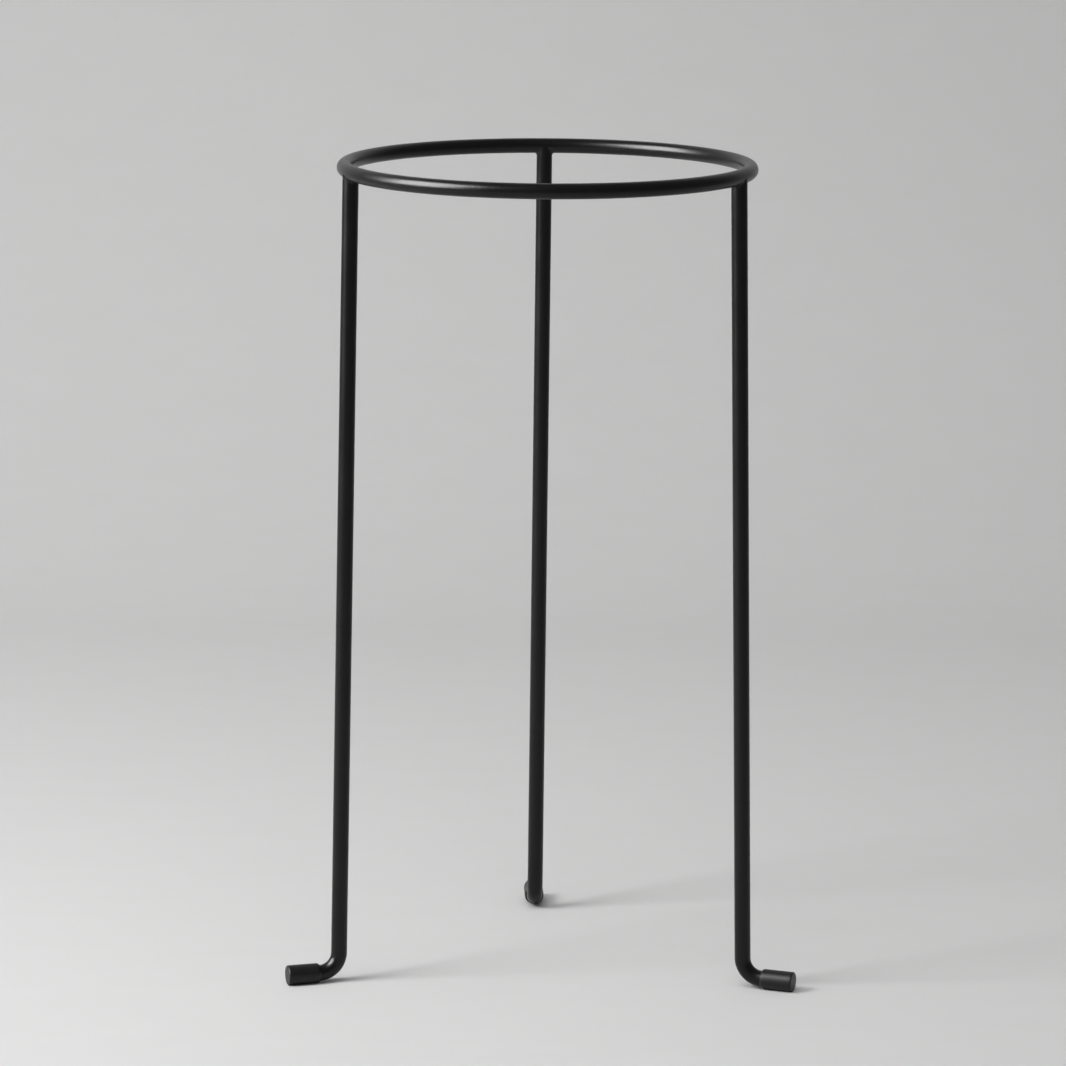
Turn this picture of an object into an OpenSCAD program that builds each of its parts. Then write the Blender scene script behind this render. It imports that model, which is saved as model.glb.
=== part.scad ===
// Three-legged plant stand: a round rod ring that holds a pot by its rim, carried by
// three identical bent-rod legs. Each leg is coped to the underside of the ring and
// fillet welded there. At the floor it bends outwards into a short foot that wears a
// push-on cap.
//
// Frame: the floor is z = 0, the ring's axis is the Z axis and the front is -Y.
// A leg's angle is measured from the front, towards +X.

/* [Overall] */
// Height from the floor to the top of the ring
stand_h = 410; // [250:5:700]
// Diameter of the ring at the centre of its rod
ring_centre_d = 200; // [140:2:320]

/* [Rods] */
// Diameter of the ring's rod
ring_rod_d = 7.6; // [5:0.2:11]
// Diameter of the legs' rod
leg_rod_d = 8; // [5:0.2:11]

/* [Legs] */
// Angle of the left leg's top, to the left of the front
left_leg_angle = 73.5; // [45:0.1:85]
// Angle of the right leg's top, to the right of the front
right_leg_angle = 68.4; // [45:0.1:85]
// Angle of the rear leg's top, from the front and past the right
rear_leg_angle = 180.9; // [165:0.1:195]
// How much further out a leg stands at the floor than at the ring
leg_splay = 7; // [0:0.5:30]
// How far the feet are turned round the stand's axis, past the leg tops
foot_turn = 1.2; // [0:0.1:4]

/* [Feet] */
// Radius of the bend, at the centre of the rod
bend_r = 10; // [8:0.5:30]
// How much thinner the rod is drawn in the bend
bend_thinning = 0.04; // [0.02:0.01:0.3]
// Bare straight rod between the bend and the cap
neck_len = 0.3; // [0.2:0.1:20]

/* [Foot caps] */
// Thickness of a cap's wall
cap_wall = 0.95; // [0.7:0.05:2]
// Length of a cap
cap_len = 16.5; // [8:0.5:30]
// Thickness of a cap's closed end
cap_end_wall = 2; // [1:0.1:4]
// Radial clearance of the rod in a cap
cap_fit = 0.05; // [0.02:0.01:0.2]
// Length of the taper at a cap's open end
lip_taper_len = 1.1; // [0.4:0.1:3]
// Thickness of a cap's wall at its open end
lip_wall = 0.3; // [0.2:0.05:0.6]
// Radius of the edge round a cap's closed end
cap_edge_r = 0.6; // [0.2:0.05:1]
// Depth of the narrow flat that a cap rests on
sole_depth = 0.15; // [0.05:0.05:0.4]

/* [Joints] */
// Radius of the weld fillet between a leg and the ring
weld_r = 1.25; // [0.6:0.05:2.5]
// Clearance of a weld bead from the two rods that it joins
weld_fit = 0.03; // [0.02:0.01:0.1]
// How far a leg's coped end stops below the middle of the ring's rod
cope_gap = 0.5; // [0.3:0.1:2]

/* [Hidden] */
$fn = 96;
ring_facets = 360;

rod_colour = "#202122";
weld_colour = "#2b2c2d";
cap_colour = "#151515";

ring_r = ring_centre_d / 2;
ring_rod_r = ring_rod_d / 2;
ring_z = stand_h - ring_rod_r;
leg_rod_r = leg_rod_d / 2;
cap_bore_r = leg_rod_r + cap_fit;
cap_r = cap_bore_r + cap_wall;

// Where a leg's own axis would meet its foot's axis if the bend were sharp.
foot_z = cap_r - sole_depth;
foot_r = ring_r + leg_splay;

// The top of a leg's axis, seen from that corner with +X along the foot.
top_x = ring_r * cos(foot_turn) - foot_r;
top_y = -ring_r * sin(foot_turn);
top_z = ring_z - foot_z;
side_lean = atan2(-top_y, top_z);
leg_tilt = atan2(top_x, norm([top_y, top_z]));
leg_axis_len = norm([top_x, top_y, top_z]);

// The bend turns the leg's direction into the foot's.
bend_angle = 90 + leg_tilt;
bend_reach = bend_r * tan(bend_angle / 2);
bend_rod_r = leg_rod_r - bend_thinning / 2;
cap_start = bend_reach + neck_len;
rod_in_cap = cap_len - cap_end_wall;

// How far the two straight runs reach into the thinner bend.
run_overlap = 0.1;
cap_edge_step = 15;

// Sideways shift of a leg's axis per unit of height, in the joint's frame.
axis_x = (top_x * cos(foot_turn) - top_y * sin(foot_turn)) / top_z;
axis_y = (top_x * sin(foot_turn) + top_y * cos(foot_turn)) / top_z;

// A weld bead fills the corner under a ball of weld_r that is rolled along it, from
// one flank of the ring's rod to the other.
leg_side_r = leg_rod_r + weld_fit;
ring_side_r = ring_rod_r + weld_fit;
bead_half_width = min(leg_side_r, ring_side_r) + weld_r;
bead_half_angle = 75;
bead_stations = 20;
bead_arc_steps = 7;
corner_rounds = 4;

function unit(v) = v / norm(v);

// The points of the two axes that are nearest to a point by the joint.
function leg_axis_by(p) = [p.z * axis_x, p.z * axis_y, p.z];
function ring_axis_by(p) =
    let (spoke = ring_r * unit([ring_r + p.x, p.y]))
    [spoke.x - ring_r, spoke.y, 0];

// The nearest points of the two rods' surfaces, with the bead's clearance.
function on_leg(p) = leg_axis_by(p) + leg_side_r * unit(p - leg_axis_by(p));
function on_ring(p) = ring_axis_by(p) + ring_side_r * unit(p - ring_axis_by(p));
function on_both(p, rounds) = rounds == 0 ? p : on_both(on_ring(on_leg(p)), rounds - 1);

// The ball's centre at a place x across the ring's rod, on one side of the leg.
function drop_below_ring(x, y) =
    -sqrt(pow(ring_side_r + weld_r, 2) - pow(norm([ring_r + x, y]) - ring_r, 2));
function beside_leg(x, z, side) =
    z * axis_y + side * sqrt(pow(leg_side_r + weld_r, 2) - pow(x - z * axis_x, 2));
function ball_centre(x, side) =
    let (
        z_first = drop_below_ring(x, side * leg_side_r),
        y_first = beside_leg(x, z_first, side),
        z_next = drop_below_ring(x, y_first),
        y_next = beside_leg(x, z_next, side)
    )
    [x, y_next, drop_below_ring(x, y_next)];

// One cross-section of the bead: its hollow face from the leg to the ring, then back
// along the ring to the corner and along the leg.
function bead_section(x, side) =
    let (
        c = ball_centre(x, side),
        leg_way = unit(leg_axis_by(c) - c),
        ring_way = unit(ring_axis_by(c) - c),
        opening = acos(leg_way * ring_way),
        leg_edge = c + weld_r * leg_way,
        ring_edge = c + weld_r * ring_way,
        corner = on_both(leg_edge + ring_edge - c, corner_rounds)
    )
    concat(
        [for (i = [0 : bead_arc_steps])
            let (turn = opening * i / bead_arc_steps)
            c + weld_r * (sin(opening - turn) * leg_way + sin(turn) * ring_way) / sin(opening)],
        [on_ring((ring_edge + corner) / 2), corner, on_leg((leg_edge + corner) / 2)]
    );

// Places a piece drawn with +X along the foot, from the foot's corner.
module at_foot(leg_angle) {
    rotate([0, 0, leg_angle + foot_turn - 90])
        translate([foot_r, 0, foot_z])
            children();
}

// Places a piece drawn from the middle of the ring's rod, with +X outwards.
module at_joint(leg_angle) {
    rotate([0, 0, leg_angle - 90])
        translate([ring_r, 0, ring_z])
            children();
}

module ring_in_place() {
    translate([0, 0, ring_z])
        rotate_extrude($fn = ring_facets)
            translate([ring_r, 0])
                circle(r = ring_rod_r);
}

// Turns a piece into the leg's own plane, with the bend's centre at the origin and
// the bend's upper end on +X.
module at_bend() {
    rotate([side_lean, 0, 0])
        translate([bend_reach, 0, bend_r])
            rotate([90, 0, 0])
                rotate([0, 0, -90 - bend_angle])
                    children();
}

// The leg's straight run, which ends a little short of the ring's middle.
module leg_run() {
    at_bend()
        translate([bend_r, run_overlap, 0])
            rotate([90, 0, 0])
                cylinder(r = leg_rod_r, h = run_overlap + leg_axis_len - bend_reach - cope_gap);
}

module foot_bend() {
    at_bend()
        rotate_extrude(angle = bend_angle)
            translate([bend_r, 0])
                circle(r = bend_rod_r);
}

module foot_run() {
    translate([bend_reach - run_overlap, 0, 0])
        rotate([0, 90, 0])
            cylinder(r = leg_rod_r, h = run_overlap + neck_len + rod_in_cap);
}

module leg(leg_angle) {
    color(rod_colour)
        difference() {
            at_foot(leg_angle) {
                leg_run();
                foot_bend();
                foot_run();
            }
            ring_in_place();
        }
}

// One of the two beads of a joint, ahead of the leg (side 1) or behind it (side -1).
module weld_bead(side) {
    points_each = bead_arc_steps + 4;
    points = [
        for (i = [0 : bead_stations])
            let (swing = side * bead_half_angle * (2 * i / bead_stations - 1))
            each bead_section(bead_half_width * sin(swing), side)
    ];
    last = bead_stations * points_each;
    skin = [
        for (i = [0 : bead_stations - 1])
            for (j = [0 : points_each - 1])
                let (
                    here = i * points_each,
                    beside = (j + 1) % points_each
                )
                each [
                    [here + j, here + beside, here + points_each + beside],
                    [here + j, here + points_each + beside, here + points_each + j]
                ]
    ];
    start_face = [[for (j = [0 : points_each - 1]) points_each - 1 - j]];
    end_face = [[for (j = [0 : points_each - 1]) last + j]];
    polyhedron(points = points, faces = concat(skin, start_face, end_face));
}

module weld(leg_angle) {
    color(weld_colour)
        at_joint(leg_angle) {
            weld_bead(1);
            weld_bead(-1);
        }
}

module foot_cap(leg_angle) {
    edge = [
        for (a = [0 : cap_edge_step : 90])
            [cap_r - cap_edge_r + cap_edge_r * cos(a), cap_len - cap_edge_r + cap_edge_r * sin(a)]
    ];
    wall = concat(
        [[cap_bore_r, rod_in_cap], [cap_bore_r, 0], [cap_bore_r + lip_wall, 0], [cap_r, lip_taper_len]],
        edge,
        [[0, cap_len], [0, rod_in_cap]]
    );
    color(cap_colour)
        difference() {
            at_foot(leg_angle)
                translate([cap_start, 0, 0])
                    rotate([0, 90, 0])
                        rotate_extrude()
                            polygon(wall);
            at_foot(leg_angle)
                translate([cap_start - cap_len, -cap_r, -foot_z - cap_r])
                    cube([3 * cap_len, 2 * cap_r, cap_r]);
        }
}

module ring() {
    color(rod_colour)
        ring_in_place();
}
module left_leg() { leg(-left_leg_angle); }
module right_leg() { leg(right_leg_angle); }
module rear_leg() { leg(rear_leg_angle); }
module left_weld() { weld(-left_leg_angle); }
module right_weld() { weld(right_leg_angle); }
module rear_weld() { weld(rear_leg_angle); }
module left_foot_cap() { foot_cap(-left_leg_angle); }
module right_foot_cap() { foot_cap(right_leg_angle); }
module rear_foot_cap() { foot_cap(rear_leg_angle); }

ring();
left_leg();
right_leg();
rear_leg();
left_weld();
right_weld();
rear_weld();
left_foot_cap();
right_foot_cap();
rear_foot_cap();
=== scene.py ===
"""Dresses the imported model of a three-legged rod plant stand and sets it in a plain studio.

Everything is in metres, in the model's own frame: the floor is z = 0, the ring's axis is
the Z axis and the front is -Y. A leg's angle is measured from the front, towards +X.
"""

import math

import bpy
from bpy.props import FloatProperty, FloatVectorProperty, IntProperty, PointerProperty
from mathutils import Matrix, Vector


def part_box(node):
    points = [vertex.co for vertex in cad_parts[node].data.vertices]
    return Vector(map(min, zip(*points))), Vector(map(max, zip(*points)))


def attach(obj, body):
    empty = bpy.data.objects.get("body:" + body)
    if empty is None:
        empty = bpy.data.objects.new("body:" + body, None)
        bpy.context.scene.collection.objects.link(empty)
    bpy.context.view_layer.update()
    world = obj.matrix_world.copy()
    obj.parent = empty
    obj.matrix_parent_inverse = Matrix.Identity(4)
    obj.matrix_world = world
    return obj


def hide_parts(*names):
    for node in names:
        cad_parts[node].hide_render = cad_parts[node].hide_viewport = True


bl_info = {
    "name": "Rod Plant Stand",
    "version": (1, 0, 0),
    "blender": (4, 5, 0),
    "location": "3D View > Sidebar > Plant Stand",
    "description": "Builds the ring, legs, welds and foot caps of a rod plant stand",
    "category": "Object",
}

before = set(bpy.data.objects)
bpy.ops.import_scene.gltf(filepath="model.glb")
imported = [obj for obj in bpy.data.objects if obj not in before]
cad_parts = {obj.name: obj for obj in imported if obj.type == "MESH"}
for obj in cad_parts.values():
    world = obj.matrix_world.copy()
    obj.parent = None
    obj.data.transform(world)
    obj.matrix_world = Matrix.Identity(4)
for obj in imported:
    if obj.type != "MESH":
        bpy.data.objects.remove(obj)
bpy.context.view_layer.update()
RING_LOW, RING_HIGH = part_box("ring")

MM = 0.001
BODY = "root"
LEG_NAMES = ("left", "right", "rear")


# ---------------------------------------------------------------------------
# Sizes and finishes that a user would change
# ---------------------------------------------------------------------------


def length(name, description, default):
    """A size in metres."""
    return FloatProperty(
        name=name, description=description, default=default, min=0.0, precision=5, unit="LENGTH"
    )


def angle(name, description, degrees):
    """An angle, with its default in degrees."""
    return FloatProperty(
        name=name, description=description, default=math.radians(degrees), unit="ROTATION"
    )


def share(name, description, default):
    """A number from 0 to 1."""
    return FloatProperty(
        name=name, description=description, default=default, min=0.0, max=1.0, subtype="FACTOR"
    )


def power(name, description, watts):
    """A lamp's power."""
    return FloatProperty(
        name=name, description=description, default=watts, min=0.0, unit="POWER"
    )


def colour(name, description, default):
    """A red, green and blue colour, each from 0 to 1."""
    return FloatVectorProperty(
        name=name,
        description=description,
        default=default,
        size=3,
        min=0.0,
        max=1.0,
        subtype="COLOR",
    )


class RodSizes(bpy.types.PropertyGroup):
    """Sizes of the ring and the legs."""

    ring_rod: length("Ring rod", "Diameter of the ring's rod", RING_HIGH.z - RING_LOW.z)
    ring_top: length("Ring top", "Height of the ring's upper side", RING_HIGH.z)
    ring_outer: length("Ring outside", "Outer radius of the ring", RING_HIGH.x)
    leg_rod: length("Leg rod", "Diameter of the legs' rod", 8.0 * MM)
    splay: length("Splay", "How much further out a leg stands at the floor", 7.0 * MM)
    foot_turn: angle("Foot turn", "How far the feet are turned round past the leg tops", 1.2)
    left_angle: angle("Left leg", "Angle of the left leg from the front", -73.5)
    right_angle: angle("Right leg", "Angle of the right leg from the front", 68.4)
    rear_angle: angle("Rear leg", "Angle of the rear leg from the front", 180.9)
    bend_radius: length("Bend radius", "Radius of the bend at the rod's centre", 10.0 * MM)
    bend_thinning: length("Bend thinning", "How much thinner the rod is in the bend", 0.04 * MM)
    neck: length("Neck", "Bare straight rod between the bend and the cap", 0.3 * MM)
    cope_gap: length("Cope gap", "Room between a leg's end and the ring rod's middle", 0.5 * MM)


class WeldSizes(bpy.types.PropertyGroup):
    """Sizes of the weld beads between the legs and the ring."""

    fillet: length("Fillet", "Radius of the weld fillet", 1.25 * MM)
    ripple: share("Ripple", "Height of the bead's ripples, as a share of the fillet", 0.035)
    ripples: IntProperty(name="Ripples", description="Ripples along one bead", default=11, min=0)
    reach: angle("Reach", "How far round the ring's rod a bead runs, each way", 75.0)


class CapSizes(bpy.types.PropertyGroup):
    """Sizes of the push-on foot caps."""

    cap_length: length("Length", "Length of a cap", 16.5 * MM)
    wall: length("Wall", "Thickness of a cap's wall", 0.95 * MM)
    end_wall: length("End wall", "Thickness of a cap's closed end", 2.0 * MM)
    fit: length("Fit", "Radial clearance of the rod in a cap", 0.05 * MM)
    lip_taper: length("Lip taper", "Length of the taper at the open end", 1.1 * MM)
    lip_wall: length("Lip wall", "Thickness of the wall at the open end", 0.3 * MM)
    edge: length("Edge", "Radius of the edge round the closed end", 0.6 * MM)
    sole: length("Sole", "Depth of the flat that a cap rests on", 0.15 * MM)


class StandFinish(bpy.types.PropertyGroup):
    """Colours and sheen of the powder coat and the caps."""

    coat: colour("Powder coat", "Colour of the powder coat", (0.0012, 0.0012, 0.00115))
    coat_sheen: share("Coat roughness", "Roughness of the powder coat", 0.31)
    cap: colour("Cap", "Colour of the caps' soft plastic", (0.0020, 0.0020, 0.0020))
    cap_sheen: share("Cap roughness", "Roughness of the caps", 0.42)


class StudioSettings(bpy.types.PropertyGroup):
    """The floor, the lamps and the camera."""

    floor: colour("Floor", "Colour of the floor", (0.66, 0.66, 0.658))
    lens: FloatProperty(
        name="Lens", description="Focal length of the camera", default=164.70, unit="CAMERA"
    )
    key_turn: angle("Key turn", "Direction of the main lamp, from the front to the left", 68.0)
    key_height: angle("Key height", "Height of the main lamp above the floor", 36.0)
    key_power: power("Key power", "Power of the main lamp", 16.0)
    fill_power: power("Fill power", "Power of the overhead diffuser", 26.3)
    gloss_turn: angle("Gloss turn", "Direction of the gloss panel, from front to left", 74.0)
    gloss_height: angle("Gloss height", "Height of the gloss panel above the floor", 31.4)
    gloss_power: power("Gloss power", "Power of the panel that the rods mirror", 154.0)
    air_front: share("Air in front", "Level of the grey air in front of the stand", 0.19)
    air_back: share("Air behind", "Level of the grey air behind the stand", 0.26)


# ---------------------------------------------------------------------------
# Geometry of the stand
# ---------------------------------------------------------------------------


def outward(turn):
    """Unit vector on the floor at an angle from the front, towards +X."""
    return Vector((math.sin(turn), -math.cos(turn), 0.0))


class LegLine:
    """The centreline of one leg: straight run, bend and foot, worked out from the sizes."""

    def __init__(self, name):
        rods, caps = bpy.context.scene.stand_rods, bpy.context.scene.stand_caps
        top_angle = getattr(rods, name + "_angle")
        foot_angle = top_angle + rods.foot_turn
        self.rod = rods.leg_rod / 2
        self.ring_rod = rods.ring_rod / 2
        self.ring_radius = rods.ring_outer - self.ring_rod
        self.ring_height = rods.ring_top - self.ring_rod
        self.cap_bore = self.rod + caps.fit
        self.cap_radius = self.cap_bore + caps.wall
        self.out = outward(top_angle)
        self.joint = self.ring_radius * self.out + Vector((0, 0, self.ring_height))
        self.foot = outward(foot_angle)
        corner = (self.ring_radius + rods.splay) * self.foot
        corner.z = self.cap_radius - caps.sole
        self.up = (self.joint - corner).normalized()
        self.bend_angle = (-self.up).angle(self.foot)
        reach = rods.bend_radius * math.tan(self.bend_angle / 2)
        self.bend_start = corner + reach * self.up
        self.bend_end = corner + reach * self.foot
        self.inward = (self.foot - self.foot.dot(self.up) * self.up).normalized()
        self.side = self.inward.cross(self.up)
        self.bend_centre = self.bend_start + rods.bend_radius * self.inward
        self.cap_start = self.bend_end + rods.neck * self.foot
        self.run = (self.joint - self.bend_start).length - rods.cope_gap


def mesh_piece(name, points, faces, finish, replaced, shade_angle=40.0):
    """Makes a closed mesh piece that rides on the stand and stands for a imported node."""
    mesh = bpy.data.meshes.new(name)
    mesh.from_pydata([tuple(p) for p in points], [], faces)
    mesh.validate()
    mesh.update()
    piece = bpy.data.objects.new(name, mesh)
    bpy.context.scene.collection.objects.link(piece)
    mesh.shade_smooth()
    mesh.set_sharp_from_angle(angle=math.radians(shade_angle))
    mesh.materials.append(finish)
    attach(piece, BODY)
    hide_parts(replaced)
    return piece


def bridge(rows, closed=True):
    """Faces between rows of point numbers; each row is a loop."""
    faces = []
    for low, high in zip(rows, rows[1:]):
        count = len(low)
        for j in range(count if closed else count - 1):
            k = (j + 1) % count
            faces.append((low[j], low[k], high[k], high[j]))
    return faces


def fan(loop, centre, flip):
    """Triangles from a loop to a middle point."""
    pairs = [(loop[j], loop[(j + 1) % len(loop)]) for j in range(len(loop))]
    return [(b, a, centre) if flip else (a, b, centre) for a, b in pairs]


# ---------------------------------------------------------------------------
# The ring
# ---------------------------------------------------------------------------

RING_STEPS = 576
RING_SIDES = 72


def ring_mesh():
    """The ring's torus, all quads."""
    rods = bpy.context.scene.stand_rods
    rod = rods.ring_rod / 2
    radius = rods.ring_outer - rod
    height = rods.ring_top - rod
    points, rows = [], []
    for i in range(RING_STEPS):
        turn = 2 * math.pi * i / RING_STEPS
        row = []
        for j in range(RING_SIDES):
            roll = 2 * math.pi * j / RING_SIDES
            reach = radius + rod * math.cos(roll)
            row.append(len(points))
            points.append(
                (reach * math.cos(turn), reach * math.sin(turn), height + rod * math.sin(roll))
            )
        rows.append(row)
    rows.append(rows[0])
    return points, bridge(rows)


# ---------------------------------------------------------------------------
# The legs
# ---------------------------------------------------------------------------

LEG_SIDES = 72
RUN_STEPS = 40
BEND_STEPS = 32
COPE_RINGS = (0.86, 0.66, 0.42, 0.2)


def off_ring(line, point):
    """Distance of a point from the ring's surface, below zero inside the rod."""
    flat = math.hypot(point.x, point.y) - line.ring_radius
    return math.hypot(flat, point.z - line.ring_height) - line.ring_rod


def coped_end(line, start):
    """Where a line up the leg from start meets the ring, or the end of the leg."""
    low, high = line.run - 2 * line.ring_rod, line.run
    if off_ring(line, start + high * line.up) > 0:
        return start + high * line.up
    for _ in range(40):
        middle = (low + high) / 2
        if off_ring(line, start + middle * line.up) > 0:
            low = middle
        else:
            high = middle
    return start + low * line.up


def leg_mesh(line):
    """One bent leg: a coped top, the straight run, the bend and the end in the cap."""
    rods, caps = bpy.context.scene.stand_rods, bpy.context.scene.stand_caps
    points, rows = [], []

    def circle(centre, across, radius):
        """Adds a round section of the rod."""
        row = []
        for j in range(LEG_SIDES):
            roll = 2 * math.pi * j / LEG_SIDES
            row.append(len(points))
            points.append(
                centre + radius * (math.cos(roll) * across + math.sin(roll) * line.side)
            )
        rows.append(row)

    def coped(share_out):
        """Adds a loop of the saddle at a share of the rod's radius."""
        row = []
        for j in range(LEG_SIDES):
            roll = 2 * math.pi * j / LEG_SIDES
            start = line.bend_start + share_out * line.rod * (
                math.cos(roll) * line.inward + math.sin(roll) * line.side
            )
            row.append(len(points))
            points.append(coped_end(line, start))
        rows.append(row)

    middle = len(points)
    points.append(coped_end(line, line.bend_start))
    for share_out in reversed(COPE_RINGS):
        coped(share_out)
    coped(1.0)
    straight = line.run - 2 * line.ring_rod
    for i in range(RUN_STEPS + 1):
        circle(
            line.bend_start + straight * (1 - i / RUN_STEPS) * line.up, line.inward, line.rod
        )
    for i in range(1, BEND_STEPS):
        part = i / BEND_STEPS
        turn = line.bend_angle * part
        across = math.cos(turn) * line.inward + math.sin(turn) * line.up
        thin = rods.bend_thinning / 2 * min(1.0, 4 * min(part, 1 - part))
        circle(line.bend_centre - rods.bend_radius * across, across, line.rod - thin)
    across = math.cos(line.bend_angle) * line.inward + math.sin(line.bend_angle) * line.up
    rod_end = rods.neck + caps.cap_length - caps.end_wall
    for distance in (0.0, rods.neck, rods.neck + caps.lip_taper, rod_end):
        circle(line.bend_end + distance * line.foot, across, line.rod)
    faces = fan(rows[0], middle, False) + bridge(rows)
    last = len(points)
    points.append(line.bend_end + rod_end * line.foot)
    return points, faces + fan(rows[-1], last, True)


# ---------------------------------------------------------------------------
# The welds
# ---------------------------------------------------------------------------

BEAD_STATIONS = 132
BEAD_ARC = 14
BEAD_ROOT = 0.12 * MM
BEAD_FADE = 0.2
BEAD_THINNING = 0.45
RIPPLE_DRIFT = 0.03


class WeldCorner:
    """The corner between a leg and the ring, seen from the middle of the ring's rod."""

    def __init__(self, line):
        self.line = line
        self.across = line.out
        self.along = Vector((0, 0, 1)).cross(line.out)
        self.lean_x = line.up.dot(self.across) / line.up.z
        self.lean_y = line.up.dot(self.along) / line.up.z

    def place(self, p):
        """A point of the corner in the stand's own frame."""
        return self.line.joint + p.x * self.across + p.y * self.along + Vector((0, 0, p.z))

    def leg_axis(self, p):
        """The point of the leg's axis at the height of p."""
        return Vector((p.z * self.lean_x, p.z * self.lean_y, p.z))

    def ring_axis(self, p):
        """The point of the ring's centreline that is nearest to p."""
        spoke = Vector((self.line.ring_radius + p.x, p.y, 0)).normalized()
        spoke *= self.line.ring_radius
        return Vector((spoke.x - self.line.ring_radius, spoke.y, 0))

    def onto(self, p, sink):
        """The nearest point of the line where the two rods meet, a little inside both."""
        for _ in range(5):
            axis = self.leg_axis(p)
            p = axis + (self.line.rod - sink) * (p - axis).normalized()
            axis = self.ring_axis(p)
            p = axis + (self.line.ring_rod - sink) * (p - axis).normalized()
        return p

    def drop(self, x, y, fillet):
        """Height of the ball's centre where it touches the ring's underside."""
        reach = self.line.ring_rod + fillet
        off = math.hypot(self.line.ring_radius + x, y) - self.line.ring_radius
        return -math.sqrt(reach**2 - off**2)

    def beside(self, x, z, side, fillet):
        """Distance along the ring of the ball's centre where it touches the leg."""
        reach = self.line.rod + fillet
        return z * self.lean_y + side * math.sqrt(reach**2 - (x - z * self.lean_x) ** 2)

    def ball(self, x, side, fillet):
        """Centre of the ball that touches the leg and the ring."""
        y = side * self.line.rod
        for _ in range(4):
            z = self.drop(x, y, fillet)
            y = self.beside(x, z, side, fillet)
        return Vector((x, y, self.drop(x, y, fillet)))

    def section(self, x, side, fillet):
        """The bead's hollow face from the leg to the ring, closed through the corner."""
        centre = self.ball(x, side, fillet)
        to_leg = (self.leg_axis(centre) - centre).normalized()
        to_ring = (self.ring_axis(centre) - centre).normalized()
        opening = to_leg.angle(to_ring)
        row = []
        for i in range(BEAD_ARC + 1):
            turn = opening * i / BEAD_ARC
            mix = math.sin(opening - turn) * to_leg + math.sin(turn) * to_ring
            row.append(self.place(centre + fillet * (mix / math.sin(opening))))
        inside = self.onto(centre + fillet * (to_leg + to_ring), BEAD_ROOT)
        row.append(self.place(inside))
        return row


def weld_mesh(line):
    """The two beads of one joint, ahead of the leg and behind it."""
    welds = bpy.context.scene.stand_welds
    corner = WeldCorner(line)
    points, faces = [], []
    for side in (1, -1):
        rows = []
        for i in range(BEAD_STATIONS + 1):
            place = 2 * i / BEAD_STATIONS - 1
            end = max(0.0, (abs(place) - 1 + BEAD_FADE) / BEAD_FADE)
            drift = RIPPLE_DRIFT * math.sin(5.0 * place + side)
            wave = math.sin(math.pi * welds.ripples * (place + drift))
            fillet = welds.fillet * (1 + welds.ripple * wave - BEAD_THINNING * end**2)
            x = (min(line.rod, line.ring_rod) + fillet) * math.sin(side * place * welds.reach)
            section = corner.section(x, side, fillet)
            rows.append(list(range(len(points), len(points) + len(section))))
            points.extend(section)
        faces += bridge(rows)
        for row, flip in ((rows[0], False), (rows[-1], True)):
            middle = len(points)
            points.append(sum((points[j] for j in row), Vector()) / len(row))
            faces += fan(row, middle, flip)
    return points, faces


# ---------------------------------------------------------------------------
# The foot caps
# ---------------------------------------------------------------------------

CAP_SIDES = 144
SHOULDER_ROUND = 0.25 * MM
LIP_ROUND = 0.12 * MM
BORE_BEVEL = 0.05 * MM


def arc(centre_s, centre_r, radius, first, last, steps):
    """Profile points on an arc, as (distance along the cap, radius)."""
    turns = [math.radians(first + (last - first) * i / steps) for i in range(steps + 1)]
    return [(centre_s + radius * math.sin(t), centre_r + radius * math.cos(t)) for t in turns]


def cap_profile(line):
    """Outline of a cap from the middle of its closed end round to the bottom of its bore."""
    caps = bpy.context.scene.stand_caps
    outer, bore, taper = line.cap_radius, line.cap_bore, caps.lip_taper
    flat = outer - caps.edge
    outline = [(caps.cap_length, flat * k / 6) for k in range(1, 6)]
    outline += arc(caps.cap_length - caps.edge, flat, caps.edge, 90, 0, 10)
    side = caps.cap_length - caps.edge - taper
    outline += [(taper + side * k / 10, outer) for k in range(9, 0, -1)]
    lip = bore + caps.lip_wall
    lean = math.degrees(math.atan2(outer - lip, taper))
    shoulder = taper + SHOULDER_ROUND * math.tan(math.radians(lean / 2))
    outline += arc(shoulder, outer - SHOULDER_ROUND, SHOULDER_ROUND, 0, -lean, 5)
    outline += [(taper * k / 6, lip + (outer - lip) * k / 6) for k in range(4, 0, -1)]
    outline += arc(LIP_ROUND, lip - LIP_ROUND, LIP_ROUND, -lean, -90, 5)
    outline += [(0.0, bore + BORE_BEVEL), (BORE_BEVEL, bore)]
    depth = caps.cap_length - caps.end_wall
    outline += [(depth * k / 4, bore) for k in range(1, 5)]
    outline += [(depth, bore * k / 3) for k in (2, 1)]
    return outline


def cap_mesh(line):
    """A cap turned from its outline, with its underside pressed flat on the floor."""
    caps = bpy.context.scene.stand_caps
    upward = Vector((0, 0, 1))
    across = line.foot.cross(upward)
    points, rows = [], []
    for distance, radius in cap_profile(line):
        row = []
        for j in range(CAP_SIDES):
            roll = 2 * math.pi * (j + 0.5) / CAP_SIDES
            spoke = math.cos(roll) * across + math.sin(roll) * upward
            point = line.cap_start + distance * line.foot + radius * spoke
            point.z = max(point.z, 0.0)
            row.append(len(points))
            points.append(point)
        rows.append(row)
    outer = len(points)
    points.append(line.cap_start + caps.cap_length * line.foot)
    inner = len(points)
    points.append(line.cap_start + (caps.cap_length - caps.end_wall) * line.foot)
    faces = fan(rows[0], outer, True) + bridge(rows) + fan(rows[-1], inner, False)
    return points, faces


# ---------------------------------------------------------------------------
# Materials
# ---------------------------------------------------------------------------


RANGE_SOCKETS = ("From Min", "From Max", "To Min", "To Max")


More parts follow.
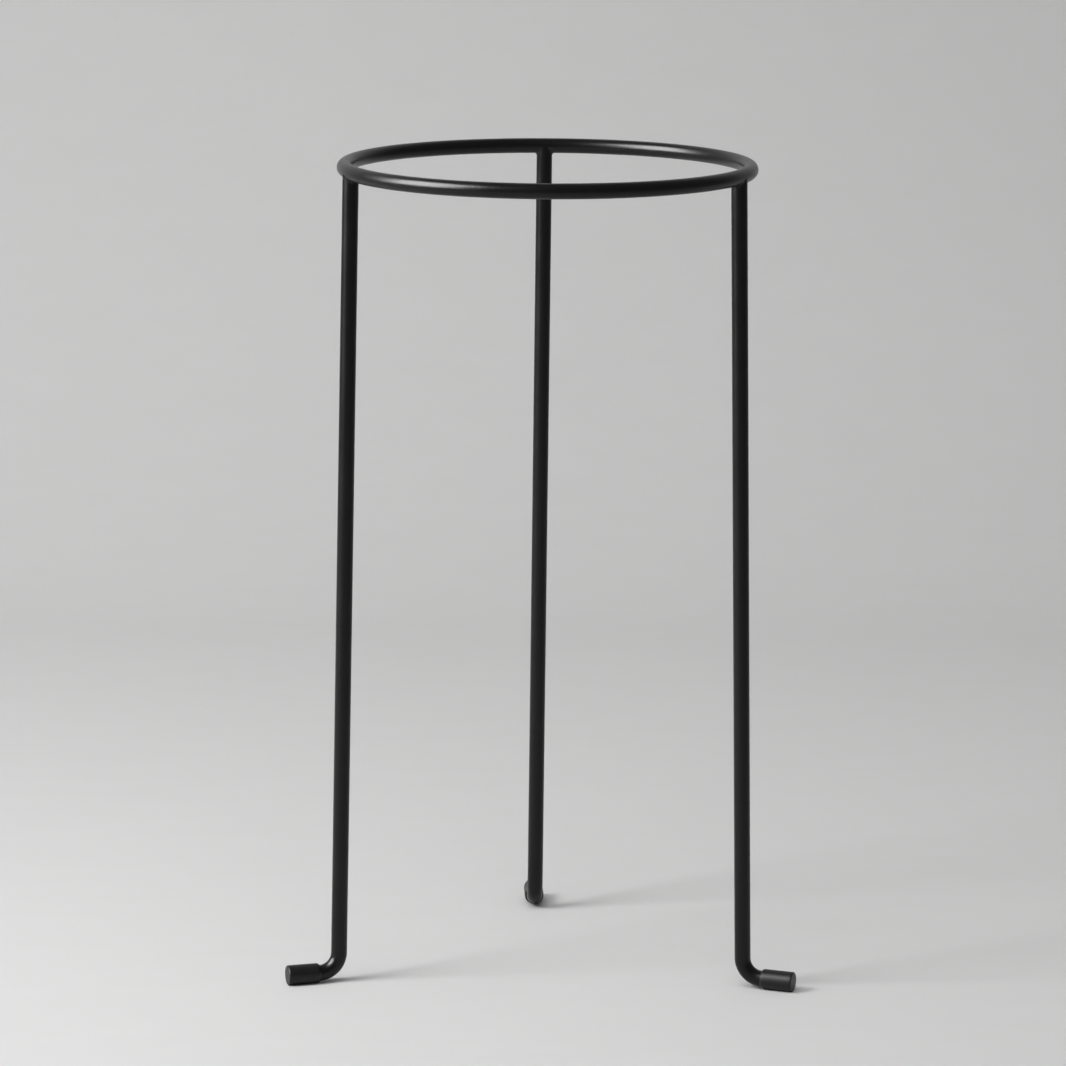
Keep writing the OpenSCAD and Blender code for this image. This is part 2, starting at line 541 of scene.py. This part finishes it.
class Nodes:
    """Short calls for building a material's node tree."""

    def __init__(self, name):
        self.material = bpy.data.materials.new(name)
        self.material.use_nodes = True
        self.tree = self.material.node_tree
        self.tree.nodes.clear()
        self.output = self.add("ShaderNodeOutputMaterial")
        self.place = self.add("ShaderNodeTexCoord").outputs["Object"]

    def add(self, kind, **settings):
        """A new node with its settings."""
        node = self.tree.nodes.new(kind)
        for key, value in settings.items():
            setattr(node, key, value)
        return node

    def feed(self, node, **sockets):
        """Links or sets a node's inputs; an underscore stands for a space."""
        for key, value in sockets.items():
            socket = node.inputs[key.replace("_", " ")]
            if isinstance(value, bpy.types.NodeSocket):
                self.tree.links.new(value, socket)
            else:
                socket.default_value = value
        return node

    def noise(self, scale, detail=2.0, rough=0.5, distortion=0.0, stretch=None):
        """Noise with scale lumps to the metre, closer together along a stretched axis."""
        vector = self.place
        if stretch is not None:
            mapping = self.feed(self.add("ShaderNodeMapping"), Vector=vector, Scale=stretch)
            vector = mapping.outputs["Vector"]
        node = self.add("ShaderNodeTexNoise")
        self.feed(
            node, Vector=vector, Scale=scale, Detail=detail, Roughness=rough, Distortion=distortion
        )
        return node.outputs["Fac"]

    def spread(self, value, low, high, to_low, to_high, smooth=False):
        """value, spread from the range low to high over the range to_low to to_high."""
        node = self.add("ShaderNodeMapRange")
        if smooth:
            node.interpolation_type = "SMOOTHSTEP"
        self.feed(node, Value=value)
        for key, number in zip(RANGE_SOCKETS, (low, high, to_low, to_high)):
            node.inputs[key].default_value = number
        return node.outputs["Result"]

    def maths(self, how, first, second):
        """The sum or product of two values."""
        node = self.add("ShaderNodeMath", operation=how)
        for socket, value in zip(node.inputs, (first, second)):
            if isinstance(value, bpy.types.NodeSocket):
                self.tree.links.new(value, socket)
            else:
                socket.default_value = value
        return node.outputs["Value"]

    def tint(self, amount, base, change):
        """base, shaded darker and lighter by change as amount goes from 0 to 1."""
        ramp = self.add("ShaderNodeValToRGB")
        self.feed(ramp, Fac=amount)
        for stop, factor in zip(ramp.color_ramp.elements, (1 - change, 1 + change)):
            stop.color = tuple(c * factor for c in base) + (1.0,)
        return ramp.outputs["Color"]

    def bump(self, height, distance, strength, under=None):
        """A relief of the given depth in metres, over another one where under is given."""
        node = self.add("ShaderNodeBump")
        self.feed(node, Height=height, Distance=distance, Strength=strength)
        if under is not None:
            self.tree.links.new(under, node.inputs["Normal"])
        return node.outputs["Normal"]

    def surface(self, **sockets):
        """Ends the tree with a plain shader that has these inputs."""
        shader = self.feed(self.add("ShaderNodeBsdfPrincipled"), **sockets)
        self.tree.links.new(shader.outputs["BSDF"], self.output.inputs["Surface"])
        return self.material


def powder_coat():
    """Satin black powder coat: orange peel, fine grain and faint handling marks."""
    finish = bpy.context.scene.stand_finish
    n = Nodes("powder_coat_satin_black")
    peel = n.noise(760.0, detail=1.5, rough=0.45)
    grain = n.noise(4300.0, detail=2.0, rough=0.6)
    handling = n.noise(34.0, detail=4.0, rough=0.62, distortion=0.6)
    flecks = n.noise(2100.0, detail=1.0)
    shade = n.maths("ADD", n.maths("MULTIPLY", handling, 0.6), n.maths("MULTIPLY", flecks, 0.4))
    sheen = n.maths(
        "ADD",
        n.spread(handling, 0.3, 0.7, finish.coat_sheen - 0.035, finish.coat_sheen + 0.035),
        n.spread(grain, 0.3, 0.7, -0.03, 0.03),
    )
    skin = n.bump(peel, 0.000045, 0.75)
    skin = n.bump(grain, 0.000012, 0.6, under=skin)
    return n.surface(
        Base_Color=n.tint(shade, tuple(finish.coat), 0.22),
        Roughness=sheen,
        Specular_IOR_Level=0.3,
        Normal=skin,
    )


def coat():
    """The powder coat, which the ring and the legs share."""
    return bpy.data.materials.get("powder_coat_satin_black") or powder_coat()


def weld_coat():
    """The same coat over the weld beads, where it lies thicker and a little smoother."""
    finish = bpy.context.scene.stand_finish
    n = Nodes("powder_coat_over_weld")
    pooled = n.noise(520.0, detail=3.0, rough=0.55, distortion=0.3)
    grain = n.noise(4300.0, detail=2.0, rough=0.6)
    sheen = n.spread(pooled, 0.3, 0.7, finish.coat_sheen - 0.06, finish.coat_sheen + 0.03)
    skin = n.bump(pooled, 0.00006, 0.7)
    skin = n.bump(grain, 0.000012, 0.6, under=skin)
    return n.surface(
        Base_Color=n.tint(pooled, tuple(finish.coat), 0.25),
        Roughness=sheen,
        Specular_IOR_Level=0.3,
        Normal=skin,
    )


def cap_plastic():
    """Soft moulded plastic: fine grain, faint flow lines and a scuffed sole."""
    finish = bpy.context.scene.stand_finish
    n = Nodes("soft_plastic_cap")
    grain = n.noise(3200.0, detail=3.0, rough=0.65)
    flow = n.noise(240.0, detail=3.0, rough=0.5, distortion=1.2)
    height = n.feed(n.add("ShaderNodeSeparateXYZ"), Vector=n.place).outputs["Z"]
    near_floor = n.spread(height, 0.0, 0.0016, 1.0, 0.0, smooth=True)
    scuffs = n.noise(1500.0, detail=4.0, rough=0.7, stretch=(1.0, 1.0, 3.0))
    scuffed = n.maths("MULTIPLY", near_floor, n.spread(scuffs, 0.42, 0.68, 0.0, 1.0))
    worn = n.add("ShaderNodeMix", data_type="RGBA")
    n.tree.links.new(scuffed, worn.inputs["Factor"])
    n.tree.links.new(n.tint(flow, tuple(finish.cap), 0.2), worn.inputs["A"])
    worn.inputs["B"].default_value = (0.02, 0.0195, 0.019, 1.0)
    sheen = n.maths(
        "ADD",
        n.spread(flow, 0.3, 0.7, finish.cap_sheen - 0.03, finish.cap_sheen + 0.03),
        n.maths("MULTIPLY", scuffed, 0.2),
    )
    skin = n.bump(flow, 0.00003, 0.5)
    skin = n.bump(grain, 0.000015, 0.7, under=skin)
    return n.surface(
        Base_Color=worn.outputs["Result"],
        Roughness=sheen,
        Specular_IOR_Level=0.37,
        Normal=skin,
    )


def studio_floor():
    """Matt pale board with a faint fibre that runs across; seen from behind, it is clear."""
    studio = bpy.context.scene.stand_studio
    n = Nodes("studio_floor_board")
    fibre = n.noise(46.0, detail=5.0, rough=0.6, stretch=(0.35, 1.0, 1.0))
    n.surface(
        Base_Color=n.tint(fibre, tuple(studio.floor), 0.02),
        Roughness=0.95,
        Specular_IOR_Level=0.0,
        Normal=n.bump(fibre, 0.0002, 0.3),
    )
    board = n.output.inputs["Surface"].links[0].from_socket
    seen_through = n.add("ShaderNodeBsdfTransparent")
    from_behind = n.add("ShaderNodeNewGeometry").outputs["Backfacing"]
    choice = n.feed(n.add("ShaderNodeMixShader"), Fac=from_behind)
    n.tree.links.new(board, choice.inputs[1])
    n.tree.links.new(seen_through.outputs["BSDF"], choice.inputs[2])
    n.tree.links.new(choice.outputs["Shader"], n.output.inputs["Surface"])
    return n.material


# ---------------------------------------------------------------------------
# The studio
# ---------------------------------------------------------------------------

SWEEP_HALF_WIDTH = 14.0
SWEEP_FRONT = -9.0
SWEEP_FOOT = 0.82
SWEEP_RADIUS = 0.42
SWEEP_TOP = 3.6
SWEEP_FLOOR_STEPS = 12
SWEEP_ARC_STEPS = 24
SWEEP_COLUMNS = 28
CAMERA_PLACE = (-0.002823, -2.39329, 0.676929)
CAMERA_YAW = -0.0771
CAMERA_PITCH = 10.7405
CAMERA_ROLL = 0.3693


def towards_light(turn, height):
    """Unit vector from the stand to a lamp."""
    return Vector(
        (-math.sin(turn) * math.cos(height), -math.cos(turn) * math.cos(height), math.sin(height))
    )


def aim(lamp, direction, distance, target=Vector((0.0, 0.0, 0.2))):
    """Sets a lamp at a distance from its target, and turns it to face it."""
    lamp.location = target + distance * direction
    lamp.rotation_euler = direction.to_track_quat("Z", "Y").to_euler()


def add_lamp(name, **settings):
    """An area lamp that the camera doesn't see."""
    data = bpy.data.lights.new(name, "AREA")
    for key, value in settings.items():
        setattr(data, key, value)
    lamp = bpy.data.objects.new(name, data)
    bpy.context.scene.collection.objects.link(lamp)
    lamp.visible_camera = False
    return lamp


def sweep_line():
    """Side view of the floor and the curved wall behind the stand, as (y, z)."""
    line = []
    for i in range(SWEEP_FLOOR_STEPS + 1):
        part = (i / SWEEP_FLOOR_STEPS) ** 0.5
        line.append((SWEEP_FRONT + (SWEEP_FOOT - SWEEP_FRONT) * part, 0.0))
    for i in range(1, SWEEP_ARC_STEPS + 1):
        turn = math.pi / 2 * i / SWEEP_ARC_STEPS
        y = SWEEP_FOOT + SWEEP_RADIUS * math.sin(turn)
        line.append((y, SWEEP_RADIUS * (1 - math.cos(turn))))
    line.append((SWEEP_FOOT + SWEEP_RADIUS, SWEEP_TOP))
    return line


def build_floor():
    """The floor and the curved wall, as one sheet."""
    points, rows = [], []
    for y, z in sweep_line():
        row = []
        for j in range(SWEEP_COLUMNS + 1):
            row.append(len(points))
            points.append((SWEEP_HALF_WIDTH * (2 * j / SWEEP_COLUMNS - 1), y, z))
        rows.append(row)
    mesh = bpy.data.meshes.new("studio_floor")
    mesh.from_pydata(points, [], bridge(rows, closed=False))
    mesh.shade_smooth()
    mesh.materials.append(studio_floor())
    floor = bpy.data.objects.new("studio_floor", mesh)
    bpy.context.scene.collection.objects.link(floor)


def build_world(front, back):
    """Even grey air, dimmer in front of the stand than behind it."""
    world = bpy.data.worlds.new("studio_air")
    bpy.context.scene.world = world
    world.use_nodes = True
    tree = world.node_tree
    direction = tree.nodes.new("ShaderNodeTexCoord").outputs["Generated"]
    parts = tree.nodes.new("ShaderNodeSeparateXYZ")
    tree.links.new(direction, parts.inputs["Vector"])
    level = tree.nodes.new("ShaderNodeMapRange")
    level.interpolation_type = "SMOOTHSTEP"
    tree.links.new(parts.outputs["Y"], level.inputs["Value"])
    for key, number in zip(RANGE_SOCKETS, (-1.0, 1.0, front, back)):
        level.inputs[key].default_value = number
    air = tree.nodes["Background"]
    air.inputs["Color"].default_value = (1.0, 1.0, 1.0, 1.0)
    tree.links.new(level.outputs["Result"], air.inputs["Strength"])


def build_camera(lens):
    """The camera in front of the stand, a little above it and looking down."""
    data = bpy.data.cameras.new("front_camera")
    data.lens = lens
    data.sensor_width = 36.0
    data.sensor_fit = "HORIZONTAL"
    data.clip_start = 0.05
    data.clip_end = 60.0
    camera = bpy.data.objects.new("front_camera", data)
    bpy.context.scene.collection.objects.link(camera)
    yaw, pitch, roll = (math.radians(a) for a in (CAMERA_YAW, CAMERA_PITCH, CAMERA_ROLL))
    ahead = Vector(
        (math.sin(yaw) * math.cos(pitch), math.cos(yaw) * math.cos(pitch), -math.sin(pitch))
    )
    right = Vector((math.cos(yaw), -math.sin(yaw), 0.0))
    upward = right.cross(ahead)
    turned_right = math.cos(roll) * right + math.sin(roll) * upward
    turned_up = -math.sin(roll) * right + math.cos(roll) * upward
    columns = (turned_right, turned_up, -ahead, CAMERA_PLACE)
    camera.matrix_world = Matrix([[c[i] for c in columns] for i in range(3)] + [[0, 0, 0, 1]])
    bpy.context.scene.camera = camera


# ---------------------------------------------------------------------------
# Operators and panel
# ---------------------------------------------------------------------------


class STAND_OT_ring(bpy.types.Operator):
    """Build the ring that holds the pot"""

    bl_idname = "stand.ring"
    bl_label = "Ring"

    def execute(self, context):
        points, faces = ring_mesh()
        mesh_piece("pot_ring", points, faces, coat(), "ring")
        return {"FINISHED"}


class STAND_OT_legs(bpy.types.Operator):
    """Build the three bent legs"""

    bl_idname = "stand.legs"
    bl_label = "Legs"

    def execute(self, context):
        for name in LEG_NAMES:
            points, faces = leg_mesh(LegLine(name))
            mesh_piece(name + "_bent_leg", points, faces, coat(), name + "_leg")
        return {"FINISHED"}


class STAND_OT_welds(bpy.types.Operator):
    """Build the weld beads between the legs and the ring"""

    bl_idname = "stand.welds"
    bl_label = "Welds"

    def execute(self, context):
        finish = weld_coat()
        for name in LEG_NAMES:
            points, faces = weld_mesh(LegLine(name))
            mesh_piece(
                name + "_weld_beads", points, faces, finish, name + "_weld", 60.0
            )
        return {"FINISHED"}


class STAND_OT_caps(bpy.types.Operator):
    """Build the push-on foot caps"""

    bl_idname = "stand.caps"
    bl_label = "Foot caps"

    def execute(self, context):
        finish = cap_plastic()
        for name in LEG_NAMES:
            points, faces = cap_mesh(LegLine(name))
            mesh_piece(
                name + "_cap", points, faces, finish, name + "_foot_cap", 50.0
            )
        return {"FINISHED"}


class STAND_OT_studio(bpy.types.Operator):
    """Build the floor, the lamps and the camera"""

    bl_idname = "stand.studio"
    bl_label = "Studio"

    def execute(self, context):
        studio = context.scene.stand_studio
        context.scene.view_settings.view_transform = "Standard"
        build_floor()
        build_world(studio.air_front, studio.air_back)
        key = add_lamp("key_softbox", energy=studio.key_power, shape="SQUARE", size=0.6)
        aim(key, towards_light(studio.key_turn, studio.key_height), 1.55)
        key.visible_glossy = False
        fill = add_lamp("overhead_diffuser", energy=studio.fill_power, shape="SQUARE", size=1.8)
        aim(fill, Vector((-0.2, -0.55, 1.0)).normalized(), 2.4, Vector((0.0, 0.5, 0.2)))
        fill.visible_glossy = False
        panel = add_lamp(
            "gloss_panel", energy=studio.gloss_power, shape="RECTANGLE", size=1.45, size_y=1.6
        )
        aim(panel, towards_light(studio.gloss_turn, studio.gloss_height), 2.0)
        panel.visible_diffuse = False
        build_camera(studio.lens)
        return {"FINISHED"}


class STAND_PT_panel(bpy.types.Panel):
    """Lists the stand's sizes, finishes and build steps"""

    bl_idname = "STAND_PT_panel"
    bl_label = "Rod Plant Stand"
    bl_space_type = "VIEW_3D"
    bl_region_type = "UI"
    bl_category = "Plant Stand"

    def draw(self, context):
        for name, title, _ in GROUPS:
            box = self.layout.box()
            box.label(text=title)
            group = getattr(context.scene, name)
            for prop in group.bl_rna.properties:
                if prop.identifier not in ("rna_type", "name"):
                    box.prop(group, prop.identifier)
        for operator in OPERATORS:
            self.layout.operator(operator.bl_idname)


GROUPS = (
    ("stand_rods", "Rods", RodSizes),
    ("stand_welds", "Welds", WeldSizes),
    ("stand_caps", "Foot caps", CapSizes),
    ("stand_finish", "Finish", StandFinish),
    ("stand_studio", "Studio", StudioSettings),
)
OPERATORS = (STAND_OT_studio, STAND_OT_ring, STAND_OT_legs, STAND_OT_welds, STAND_OT_caps)
CLASSES = tuple(group for _, _, group in GROUPS) + OPERATORS + (STAND_PT_panel,)


def register():
    for cls in CLASSES:
        bpy.utils.register_class(cls)
    for name, _, group in GROUPS:
        setattr(bpy.types.Scene, name, PointerProperty(type=group))


def unregister():
    for name, _, _ in GROUPS:
        delattr(bpy.types.Scene, name)
    for cls in reversed(CLASSES):
        bpy.utils.unregister_class(cls)


def main():
    register()
    bpy.ops.stand.studio()
    bpy.ops.stand.ring()
    bpy.ops.stand.legs()
    bpy.ops.stand.welds()
    bpy.ops.stand.caps()


if __name__ == "__main__":
    main()
